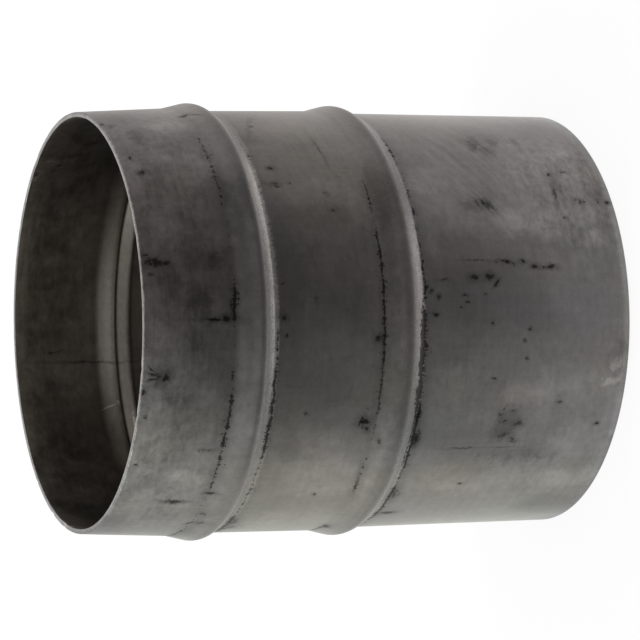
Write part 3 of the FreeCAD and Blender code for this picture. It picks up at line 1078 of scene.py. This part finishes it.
@dataclass(frozen=True)
class BeadReflectionsAndScuffs:
    """Painted reflections and shade over the beads, and their steep flanks scuffed.

    The bands of tone by the height above each crest stand in for the light that
    its crest and flanks reflect, outside and in its groove inside.

    Args:
        crests: heights of the lower and the upper bead's crest, in mm.
        land_middle: a height between the two beads, in mm.
        span: heights above a crest between which its curves run, in mm.
        near: a quarter of the painted reflection's tone over a bead on the side
        facing the camera, by the height above its crest in mm.
        far: the same on the other side.
        groove: the same inside the tube, in each bead's groove.
        begins: turns between which the side facing the camera begins.
        ends: turns between which it ends, on the lower bead.
        reach: how much further it reaches on the upper bead's steep flank, in degrees.
        reach_band: heights above the crest between which it does.
        mouth_painted_light: painted light inside the mouth, as a quarter of the tone there, by the height in
            mm.
        length: the tube's length, in mm.
        ragged: the noises that shake the curves up and down, in mm.
        steep: heights above the crest of the steep flank, and how softly it ends.
        relief: the same for the flank's rough grain, on the bare height.
    """

    crests: Span = (71.8, 117.05)
    land_middle: float = 95.0
    span: Span = (-6.0, 10.0)
    near: Stops = (
        (-5.6, 0.25), (-5.2, 0.29), (-4.7, 0.62), (-3.6, 0.80), (-2.7, 0.68), (-1.8, 0.44), (-0.9, 0.33),
        (0.0, 0.31), (0.9, 0.34), (1.8, 0.375), (2.6, 0.37), (3.6, 0.32), (5.0, 0.31), (7.0, 0.31),
        (8.4, 0.25))
    far: Stops = (
        (-5.6, 0.25), (-4.9, 0.36), (-3.6, 0.34), (-2.0, 0.24), (0.0, 0.21), (2.0, 0.25), (4.5, 0.285),
        (7.4, 0.26), (8.4, 0.25))
    groove: Stops = (
        (-4.8, 0.25), (-3.8, 0.15), (-0.6, 0.16), (0.6, 0.135), (1.4, 0.18), (2.5, 0.29), (3.8, 0.30),
        (5.0, 0.255), (6.4, 0.205), (8.2, 0.21), (9.9, 0.25))
    begins: Span = (-29.0, -3.0)
    ends: Span = (37.0, 21.0)
    reach: float = 18.0
    reach_band: Span = (1.0, -1.5)
    mouth_painted_light: Stops = ((0.0, 0.25), (143.5, 0.25), (148.0, 0.35), (152.0, 0.58))
    length: float = 152.0
    ragged: Weights = ((Layer.CRUMBS, 0.48), (Layer.ROLLED, 0.35))
    steep: tuple[float, float, float] = (-4.6, -0.8, 0.4)
    relief: tuple[float, float, float] = (-4.2, -1.2, 0.6)

    QUARTERS = 4.0

    # The side facing the camera, where the beads' painted reflections follow the near curve.
    def handled(self, kit: NodeKit, turn: Signal, upper: Signal, above: Signal) -> Signal:
        """1 on the side facing the camera, whose painted reflections follow the near curve; it reaches on
        along the upper bead's steep flank.
        """
        shift = upper * kit.spread(above, *self.reach_band, 0.0, self.reach)
        return kit.spread(turn, *self.begins) * kit.spread(turn - shift, *self.ends)

    def tones(self, layers: Layers) -> tuple[Signal, Signal]:
        """The painted reflections' tone over the beads and in their grooves, and 1 on each steep, scuffed
        flank outside.

        Args:
            layers: the metal's places and noises.

        Returns:
            The painted tone, 1 where no painted reflection lies, and the flanks' share.
        """
        kit, place = layers.kit, layers.place
        height = layers.weighted(self.ragged, place.height)
        upper = kit.math("GREATER_THAN", height, self.land_middle)
        above = height - kit.spread(upper, 0.0, 1.0, *self.crests, smooth=False)
        # Painted reflections and shade: bands of tone by the height above each crest that stand in for the
        # light its crest and flanks reflect.
        near, far, groove = (
            kit.curve(above, *self.span, stops) for stops in (self.near, self.far, self.groove))
        outside = kit.mixed(self.handled(kit, place.turn, upper, above), far, near)
        # Inside, the grooves' painted reflections, with painted light brighter towards the mouth.
        inside = self.QUARTERS * groove * kit.curve(height, 0.0, self.length, self.mouth_painted_light)
        level = kit.mixed(place.lining, outside, inside)
        return level * self.QUARTERS, kit.within(above, *self.steep) * place.outside

    def flanks(self, place: WallPlace) -> Signal:
        """1 on the steep flanks, whatever dirt lies on them.

        Args:
            place: the place on the wall.

        Returns:
            The share.
        """
        low, high, soft = self.relief
        lower, upper = (place.height.kit.within(place.height, crest + low, crest + high, soft)
                        for crest in self.crests)
        return lower + upper


@dataclass(frozen=True)
class ScouredHaze:
    """The slanting haze of fine scratches near the weld end.

    Args:
        way: the way that the scratches run, round the tube and up it.
        stretch: how much finer the noises are across it than along it.
        noises: the fine and the broad noise, each with its strength.
        zone: where it lies.
    """

    way: Span = (0.88, 0.475)
    stretch: float = 0.045
    noises: tuple[tuple[Noise, float], ...] = ((Noise(0.8, 3.0, 0.7), 0.15), (Noise(4.0), 0.20))
    zone: Zone = Zone((32.0, 58.0), 9.0, (30.0, 62.0), 9.0)

    def change(self, layers: Layers) -> Signal:
        """What the haze adds to the tone.

        Args:
            layers: the metal's places and noises.

        Returns:
            The change, 0 beyond its zone.
        """
        kit, place = layers.kit, layers.place
        along = kit.vector("DOT_PRODUCT", place.flat, (*self.way, 0.0))
        across = kit.vector("DOT_PRODUCT", place.flat, (-self.way[1], self.way[0], 0.0))
        slant = kit.joined(along * self.stretch, across, 0.0)
        fine, broad = (noise.made(kit, slant) * strength for noise, strength in self.noises)
        return (fine + broad) * self.zone.share(place)


@dataclass(frozen=True)
class MillFilm:
    """The colours of the bare metal under its film, with a painted bluish cast of reflected light in one
    band.

    Args:
        cool: the clean metal's reflection where it is neutral.
        warm: the same where the film is browner.
        olive: the same where it is yellower.
        lining: what the film inside the tube multiplies it by.
        reflected_blue: the same for a band on the outside with a bluish cast of painted reflected light.
        land: where the film is browner and yellower, between the beads.
        hose_end: where it is browner at the mouth.
        band: where that painted bluish band lies.
        land_share: how strongly the land counts.
        hose_share: how strongly the hose end does.
        lining_share: how strongly the lining does.
        brown_band: the sum between which the metal turns brown.
        olive_band: the sum between which it turns yellow, and how far it does.
    """

    cool: Triple = (0.1905, 0.1885, 0.1865)
    warm: Triple = (0.212, 0.192, 0.180)
    olive: Triple = (0.200, 0.196, 0.177)
    lining: Triple = (1.0, 0.99, 0.93)
    reflected_blue: Triple = (0.975, 0.985, 1.03)
    land: Zone = Zone((72.0, 112.0), 6.0)
    hose_end: Zone = Zone((126.0, 160.0), 6.0, (-4.0, 44.0))
    band: Zone = Zone((-10.0, 104.0), 30.0, (-42.0, -24.0), 3.0)
    land_share: float = 0.9
    hose_share: float = 1.2
    lining_share: float = 1.5
    brown_band: Span = (-0.6, 1.8)
    olive_band: tuple[float, float, float, float] = (-0.6, 1.6, 0.0, 0.8)

    def colour(self, layers: Layers) -> Signal:
        """The metal's colour at a tone of 1.

        Args:
            layers: the metal's places and noises.

        Returns:
            The colour.
        """
        kit, place = layers.kit, layers.place
        land = self.land.share(place) * self.land_share
        hose_end = self.hose_end.share(place) * place.outside * self.hose_share
        warmed = layers[Layer.BROAD] + place.lining * self.lining_share + land + hose_end
        browned = kit.spread(warmed, *self.brown_band)
        yellowed = kit.spread(land - layers[Layer.CLOUDS], *self.olive_band)
        metal = kit.tinted(yellowed, kit.tinted(browned, self.cool, self.warm), self.olive)
        # A bluish cast in a band at turns -42 to -24 along the lower wall: painted reflected light.
        reflected_blue_share = self.band.share(place, place.turn + layers[Layer.SMEARS])
        film = kit.tinted(place.lining, kit.tinted(reflected_blue_share, (1.0, 1.0, 1.0), self.reflected_blue), self.lining)
        return kit.vector("MULTIPLY", metal, film)


@dataclass(frozen=True)
class DullSteel:
    """The tube's own metal: mill-dull, dark, thinly oiled and handled, with painted reflections and shade
    over its beads, inside the tube and in some of its patches.

    Args:
        film: its colours.
        beads: the painted reflections over its beads and in their grooves, and the scuffs on their steep
            flanks.
        dirt: the dirt packed along them.
        haze: its scoured stretch.
        roughness: of the clean metal.
        oil: how much of the surface has an oil film.
        oil_roughness: of that film.
        mottle: the noises that change its tone everywhere.
        scuffs: those that do by how much a place was handled.
        handled: how much that was everywhere.
        handled_more: where it was handled more, and how much.
        patch_ragged: how far the patches' outlines are shaken, in mm.
        patch_fade: the share of a patch's size at which it is gone, plus its edge.
        patch_floor: the most that patches which overlap may darken a place.
        patch_scuffs: the noises that break the patches up.
        halo_band: the shares of a mark's size between which its halo fades.
        steep_scuffs: how strongly the steep flanks are scuffed.
        lining_painted_shade: painted shade inside the tube, as its brightness there.
        burrs: how much brighter the cut faces are.
        burr_noises: the noises of their burrs.
        dulled: the noises that change the roughness.
        steep_dull: what the steep flanks add to it.
        lining_dull: what the lining adds.
        relief: the height of its grain, of its crumbs, and of those on the steep flanks, in mm.
        rough_range: the least and most rough that anything on it can be.
    """

    film: MillFilm = MillFilm()
    beads: BeadReflectionsAndScuffs = BeadReflectionsAndScuffs()
    dirt: PackedDirt = PackedDirt()
    haze: ScouredHaze = ScouredHaze()
    roughness: float = 0.29
    oil: float = 0.25
    oil_roughness: float = 0.15
    mottle: Weights = ((Layer.CLOUDS, 0.08), (Layer.GRAIN, 0.05), (Layer.DRAWN, 0.05))
    scuffs: Weights = ((Layer.SMEARS, 0.16), (Layer.DABS, 0.14), (Layer.ROLLED, 0.08))
    handled: float = 0.70
    handled_more: tuple[tuple[Zone, float], ...] = (
        (Zone((128.0, 160.0), 10.0), 0.9), (Zone((0.0, 28.0), 9.0, (18.0, 58.0)), 1.3))
    patch_ragged: float = 2.4
    patch_fade: float = 1.75
    patch_floor: float = -0.46
    patch_scuffs: Weights = ((Layer.SMEARS, 0.3), (Layer.DABS, 0.2))
    halo_band: Span = (2.4, 0.7)
    steep_scuffs: float = 0.28
    lining_painted_shade: float = 0.93
    burrs: float = 0.10
    burr_noises: Weights = ((Layer.CRUMBS, 0.45), (Layer.SMEARS, 0.20))
    dulled: Weights = ((Layer.CLOUDS, 0.03), (Layer.SMEARS, 0.05))
    steep_dull: float = 0.05
    lining_dull: float = 0.08
    relief: Triple = (0.002, 0.003, 0.02)
    rough_range: Span = (0.1, 0.9)

    BEYOND_MARKS = 10.0

    def marked(self, layers: Layers, marks: tuple[Mark, ...], look: MarkLook) -> Signal:
        """How strongly the marks of one kind cover a place, from 0 to 1.

        Args:
            layers: the metal's places and noises.
            marks: the marks.
            look: how their kind looks.

        Returns:
            The cover.
        """
        kit = layers.kit
        nearest: Signal | float = self.BEYOND_MARKS
        for _, away in ovals(kit, layers.ragged(look.ragged), marks):
            nearest = kit.math("MINIMUM", nearest, away)
        cover = kit.spread(nearest + layers[Layer.CRUMBS] * look.crumble, look.edge, look.core)
        if look.halo:
            cover = kit.math("MAXIMUM", cover, kit.spread(nearest, *self.halo_band, 0.0, look.halo))
        return cover

    def patched(self, layers: Layers) -> Signal:
        """What the soft patches, partly mottle and partly painted shade and highlight, add to the tone of a
        place on the outside.

        Args:
            layers: the metal's places and noises.

        Returns:
            The change, 0 inside the tube.
        """
        kit = layers.kit
        change: Signal | float = 0.0
        for patch, away in ovals(kit, layers.ragged(self.patch_ragged), MOTTLE_AND_PAINTED_LIGHT_PATCHES):
            change = change + kit.spread(away, self.patch_fade - patch.edge, patch.edge, 0.0, patch.change)
        floored = kit.math("MAXIMUM", change, self.patch_floor)
        return floored * layers.place.outside * layers.weighted(self.patch_scuffs, 1.0)

    def mottled(self, layers: Layers) -> Signal:
        """The bare metal's tone with its patches, partly painted shade and highlight, its noises and haze.

        Args:
            layers: the metal's places and noises.

        Returns:
            The tone, about 1.
        """
        handled: Signal | float = self.handled
        for zone, more in self.handled_more:
            handled = handled + zone.share(layers.place) * more
        tone = layers.weighted(self.mottle, 1.0 + self.patched(layers))
        return tone + layers.weighted(self.scuffs) * handled + self.haze.change(layers)

    def surface(self, layers: Layers) -> tuple[Signal, Signal]:
        """The metal's tone and its roughness, with all that lies on it.

        Args:
            layers: the metal's places and noises.

        Returns:
            The tone and the roughness.
        """
        kit, place = layers.kit, layers.place
        # The beads' painted reflections and shade, and the scuffed grain of their steep flanks.
        bead_reflection_tone, steep = self.beads.tones(layers)
        scuffed = steep * (layers[Layer.CRUMBS] + layers[Layer.FLECKS]) * self.steep_scuffs
        tone = self.mottled(layers) * bead_reflection_tone * (1.0 + scuffed)
        dull = layers.weighted(self.dulled, self.roughness)
        dull = dull + steep * self.steep_dull + place.lining * self.lining_dull
        for kind in MarkKind:
            for marks, skin in ((MARKS, place.outside), (INSIDE_MARKS, place.lining)):
                if kind in marks:
                    cover = self.marked(layers, marks[kind], kind.value) * skin
                    tone = tone * kit.covered(cover, kind.value.tone)
                    dull = dull + cover * kind.value.dull
        dirt = self.dirt.cover(layers)
        # Dirt darkens its lines; inside the tube the tone is a little darker, painted shade.
        tone = tone * kit.covered(dirt, self.dirt.tone) * kit.covered(place.lining, self.lining_painted_shade)
        tone = tone * (1.0 + place.cut_face * layers.weighted(self.burr_noises, self.burrs))
        return tone, dull + dirt * self.dirt.dull

    def material(self) -> bpy.types.Material:
        """Builds the material.

        Returns:
            The material.
        """
        made, kit = blank_material("dull_steel")
        layers = Layers(kit)
        tone, dull = self.surface(layers)
        grain, crumbs, scuffs = self.relief
        relief = layers[Layer.GRAIN] * grain
        relief = relief + layers[Layer.CRUMBS] * (crumbs + self.beads.flanks(layers.place) * scuffs)
        shader = kit.out("ShaderNodeBsdfPrincipled", None, {
            "Metallic": 1.0,
            "Coat Weight": self.oil,
            "Coat Roughness": self.oil_roughness,
            "Base Color": kit.scaled(self.film.colour(layers), tone),
            "Roughness": kit.spread(dull, *self.rough_range, *self.rough_range, smooth=False),
            "Normal": kit.out("ShaderNodeBump", None, {"Strength": 1.0, "Distance": MM, "Height": relief}),
        })
        kit.node("ShaderNodeOutputMaterial", None, {"Surface": shader})
        return made


@dataclass
class TubeWall:
    """The tube itself, spun from its section.

    Args:
        section: the wall's section.
        metal: its finish.
        spokes: divisions round the axis.
        wave: height of the slight waves in the rolled wall.
        wave_length: their length.
        nick: depth of the small nicks in the mouth's edge.
        seed: of the waves and nicks.
        name: of the finished piece.
    """

    section: WallSection
    metal: DullSteel
    spokes: int = 600
    wave: float = 0.12 * MM
    wave_length: float = 45.0 * MM
    nick: float = 0.25 * MM
    seed: float = 4.0
    name: str = "tube_wall"

    def section_mesh(self) -> bpy.types.Mesh:
        """The section as loose points with the side of each as numbers.

        Returns:
            The mesh, without faces.
        """
        points = self.section.points()
        mesh = bpy.data.meshes.new("wall_section")
        mesh.from_pydata([(p.radius, 0.0, p.height) for p in points], [], [])
        for side in (Side.LINING, Side.CUT_FACE):
            values = mesh.attributes.new(side.value, "FLOAT", "POINT")
            values.data.foreach_set("value", [1.0 if p.side is side else 0.0 for p in points])
        return mesh

    def build(self) -> bpy.types.Object:
        """Makes the wall, which stands for the one solid of the construction.

        Returns:
            The wall.
        """
        owner = placed(self.name, self.section_mesh())
        mesh = SpinTree("spin_wall").applied(owner, {
            SpinTree.SPOKES: self.spokes,
            SpinTree.WAVE: self.wave,
            SpinTree.WAVE_LENGTH: self.wave_length,
            SpinTree.NICK: self.nick,
            SpinTree.MOUTH: self.section.sizes.length,
            SpinTree.SEED: self.seed,
            SpinTree.METAL: self.metal.material(),
        })
        owner.data = mesh
        LOG.info("%s: %d faces", self.name, len(mesh.polygons))
        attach(owner, "root")
        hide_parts(NODE)
        return owner


@dataclass(frozen=True)
class View:
    """The photograph's camera, from a fit to the tube's outline.

    Args:
        elevation: how far the camera looks down, in degrees.
        quarter: the turn that lays the standing tube on its side, in degrees.
        roll: the rest of the camera's turn about its own line, in degrees.
        focal: distance of the picture plane, in pixels of the frame.
        frame_width: width of the frame, in pixels.
        sensor: width of the camera's sensor, in its own millimetres.
        clip: nearest and farthest distance that it sees.
        mouth_left: how far the mouth's centre lies left of the camera's line.
        mouth_down: how far it lies below that line.
        mouth_away: how far it lies in front of the camera.
    """

    elevation: float = 22.63
    quarter: float = -90.0
    roll: float = -0.584
    focal: float = 2981.0
    frame_width: float = 640.0
    sensor: float = 36.0
    clip: Span = (0.01, 50.0)
    mouth_left: float = 72.83 * MM
    mouth_down: float = 0.92 * MM
    mouth_away: float = 883.94 * MM

    def build(self, mouth: Vector) -> bpy.types.Object:
        """Makes the camera.

        Args:
            mouth: the centre of the tube's mouth.

        Returns:
            The camera object, which is the scene's camera.
        """
        data = bpy.data.cameras.new("camera")
        data.sensor_width = self.sensor
        data.lens = self.focal * self.sensor / self.frame_width
        data.clip_start, data.clip_end = self.clip
        camera = placed("camera", data)
        tilt = Matrix.Rotation(math.radians(90.0 - self.elevation), 3, "X")
        turn = Matrix.Rotation(math.radians(self.quarter + self.roll), 3, "Z")
        stand = tilt @ turn
        offset = stand @ Vector((-self.mouth_left, -self.mouth_down, -self.mouth_away))
        camera.matrix_world = Matrix.Translation(mouth - offset) @ stand.to_4x4()
        bpy.context.scene.camera = camera
        return camera


@dataclass
class DarkScreen:
    """A dark screen bent round the camera's side of the tube, with an apron on the floor.

    Only reflections see it, so it darkens no view's background.

    Args:
        radius: distance of the screen from the tube's axis.
        apron: inner radius of the part of it that lies on the floor.
        height: its height.
        lift: how far the apron is off the floor.
        tones: its brightness at some turns, in degrees, near its top.
        fade: the power that its tones are raised to, at some heights in mm.
        tints: its colour at some turns, which the light of the room gives it.
        apron_fade: the power for the apron, at some radii in mm.
        apron_top: the height below which the apron is, in mm.
        card: brightness that a pale card high up adds at some turns.
        card_edge: heights between which the card begins, in mm.
        steps: its facets.
    """

    radius: float = 0.125
    apron: float = 0.066
    height: float = 0.30
    lift: float = 0.5 * MM
    tones: Stops = (
        (-145.0, 0.76), (-120.0, 0.66), (-101.0, 0.84), (-87.0, 0.93), (-73.0, 0.92), (-66.0, 0.84),
        (-57.7, 0.70), (-44.7, 0.42), (-33.2, 0.30), (-22.2, 0.25), (-11.3, 0.21), (0.0, 0.16),
        (14.3, 0.145), (30.0, 0.165), (41.5, 0.21), (54.5, 0.32), (69.0, 0.49), (87.0, 0.54),
        (99.0, 0.60), (120.0, 0.56), (145.0, 0.64))
    fade: Stops = (
        (0.0, 0.36), (33.0, 0.66), (79.0, 0.92), (117.0, 1.0), (135.0, 0.92), (160.0, 0.70), (300.0, 0.60))
    tints: tuple[tuple[float, Triple], ...] = (
        (-145.0, (1.0, 1.0, 0.95)), (-60.0, (1.0, 1.0, 0.94)), (-36.0, (1.0, 1.0, 0.975)),
        (0.0, (0.99, 0.965, 0.985)), (36.0, (1.0, 0.96, 0.975)), (75.0, (1.0, 0.945, 0.94)),
        (145.0, (1.0, 0.95, 0.92)))
    apron_fade: Stops = ((66.0, 0.22), (74.0, 0.27), (88.0, 0.29), (125.0, 0.36))
    apron_top: float = 1.0
    card: Stops = (
        (-66.0, 0.0), (-55.0, 0.08), (-45.0, 0.18), (-36.0, 0.18), (-24.0, 0.13), (-12.0, 0.09), (0.0, 0.05),
        (20.0, 0.035), (40.0, 0.02), (60.0, 0.0))
    card_edge: Span = (98.0, 126.0)
    steps: int = 80

    @property
    def turns(self) -> Span:
        """Its first and last turn, in degrees."""
        return self.tones[0][0], self.tones[-1][0]

    def mesh(self) -> bpy.types.Mesh:
        """The screen's faces.

        Returns:
            The mesh.
        """
        low, high = self.turns
        rows = ((self.apron, self.lift), (self.radius, self.lift), (self.radius, self.height))
        turns = [math.radians(low + (high - low) * step / self.steps) for step in range(self.steps + 1)]
        points = [(radius * math.sin(turn), -radius * math.cos(turn), height)
                  for turn in turns for radius, height in rows]
        faces = [(3 * i + row, 3 * i + row + 3, 3 * i + row + 4, 3 * i + row + 1)
                 for i in range(self.steps) for row in range(len(rows) - 1)]
        mesh = bpy.data.meshes.new("screen")
        mesh.from_pydata(points, [], faces)
        return mesh

    def material(self) -> bpy.types.Material:
        """The screen's greys, which shine by themselves.

        Returns:
            The material.
        """
        made, kit = blank_material("screen_grey")
        x, y, z = kit.parts(kit.out("ShaderNodeTexCoord", output="Object"))
        turn = kit.turn(x, y)
        height = z / MM
        radius = kit.vector("LENGTH", kit.joined(x, y, 0.0)) / MM
        fade = kit.mixed(
            kit.math("LESS_THAN", height, self.apron_top),
            kit.curve(height, 0.0, self.fade[-1][0], self.fade),
            kit.curve(radius, self.apron_fade[0][0], self.apron_fade[-1][0], self.apron_fade))
        card = kit.curve(turn, *self.turns, self.card) * kit.spread(height, *self.card_edge)
        shade = kit.math("POWER", kit.curve(turn, *self.turns, self.tones), fade) + card
        tint = kit.curve(turn, *self.turns, self.tints)
        grey = kit.out("ShaderNodeEmission", None, {"Color": kit.scaled(tint, shade), "Strength": 1.0})
        kit.node("ShaderNodeOutputMaterial", None, {"Surface": grey})
        return made

    def build(self) -> bpy.types.Object:
        """Sets the screen up.

        Returns:
            The screen.
        """
        mesh = self.mesh()
        mesh.materials.append(self.material())
        screen = placed("screen", mesh)
        screen.visible_camera = False
        screen.visible_diffuse = False
        screen.visible_shadow = False
        return screen


@dataclass
class Studio:
    """A plain white floor and soft light, with a dark screen on the camera's side.

    Args:
        screen: the dark screen.
        floor_size: side of the floor.
        floor_white: share of the floor that shows plain white whatever falls on it.
        floor_colour: colour of the rest.
        room_light: strength of the white room's light on things.
        lamps: each lamp's name and place.
        lamp_size: side of a lamp.
        lamp_power: its power in watts.
    """

    screen: DarkScreen
    floor_size: float = 6.0
    floor_white: float = 0.85
    floor_colour: float = 0.9
    room_light: float = 0.9
    lamps: tuple[tuple[str, Triple], ...] = (
        ("lamp_left", (-0.9, 0.2, 0.9)), ("lamp_right", (0.9, 0.2, 0.9)))
    lamp_size: float = 0.6
    lamp_power: float = 6.0

    @staticmethod
    def seen_directly(kit: NodeKit) -> Signal:
        """1 where the background shows as it is: to the camera, in gloss and through glass.

        Args:
            kit: the nodes of the room or the floor.

        Returns:
            The share.
        """
        path = kit.node("ShaderNodeLightPath").outputs
        camera, gloss, glass = (
            Signal(kit, path[name]) for name in ("Is Camera Ray", "Is Glossy Ray", "Is Transmission Ray"))
        return kit.math("MAXIMUM", kit.math("MAXIMUM", camera, gloss), glass)

    def world(self) -> None:
        """A white room."""
        world = bpy.data.worlds.new("room")
        bpy.context.scene.world = world
        world.use_nodes = True
        world.node_tree.nodes.clear()
        kit = NodeKit(world.node_tree)
        strength = kit.spread(self.seen_directly(kit), 0.0, 1.0, self.room_light, 1.0)
        light = kit.out("ShaderNodeBackground", None, {"Color": WHITE, "Strength": strength})
        kit.node("ShaderNodeOutputWorld", None, {"Surface": light})

    def floor(self) -> bpy.types.Object:
        """The white floor, which keeps the tube's shadow.

        Returns:
            The floor.
        """
        half = self.floor_size / 2
        mesh = bpy.data.meshes.new("floor")
        corners = [(-half, -half, 0.0), (half, -half, 0.0), (half, half, 0.0), (-half, half, 0.0)]
        mesh.from_pydata(corners, [], [(0, 1, 2, 3)])
        made, kit = blank_material("floor_white")
        share = self.seen_directly(kit) * self.floor_white
        matt = kit.out("ShaderNodeBsdfDiffuse", None, {"Color": (self.floor_colour,) * 3 + (1.0,)})
        white = kit.out("ShaderNodeEmission", None, {"Color": WHITE, "Strength": 1.0})
        both = kit.out("ShaderNodeMixShader", None, {0: share, 1: matt, 2: white})
        kit.node("ShaderNodeOutputMaterial", None, {"Surface": both})
        mesh.materials.append(made)
        floor = placed("floor", mesh)
        return floor

    def lamp(self, name: str, place: Vector, aim: Vector) -> bpy.types.Object:
        """A square soft lamp.

        Args:
            name: the lamp's name.
            place: where it hangs.
            aim: the point that it faces.

        Returns:
            The lamp.
        """
        data = bpy.data.lights.new(name, "AREA")
        data.size = self.lamp_size
        data.energy = self.lamp_power
        lamp = placed(name, data)
        facing = (aim - place).to_track_quat("-Z", "Y").to_matrix().to_4x4()
        lamp.matrix_world = Matrix.Translation(place) @ facing
        return lamp

    def build(self, middle: Vector) -> None:
        """Sets up the floor, screen, lamps and room.

        Args:
            middle: the tube's middle, which the lamps face.
        """
        self.world()
        self.floor()
        self.screen.build()
        for name, place in self.lamps:
            self.lamp(name, Vector(place), middle)
        bpy.context.scene.view_settings.view_transform = "Standard"
        LOG.info("studio: floor, screen and %d lamps", len(self.lamps))


def main() -> None:
    """Builds the tube, the studio and the view."""
    logging.basicConfig(level=logging.INFO, format="%(name)s: %(message)s")
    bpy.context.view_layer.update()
    low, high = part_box(NODE)
    sizes = WallSizes(length=high.z - low.z, crest=(high.x - low.x) / 2)
    TubeWall(WallSection(sizes), DullSteel()).build()
    Studio(DarkScreen()).build(Vector((0.0, 0.0, sizes.length / 2)))
    View().build(Vector((0.0, 0.0, sizes.length)))


if __name__ == "__main__":
    main()
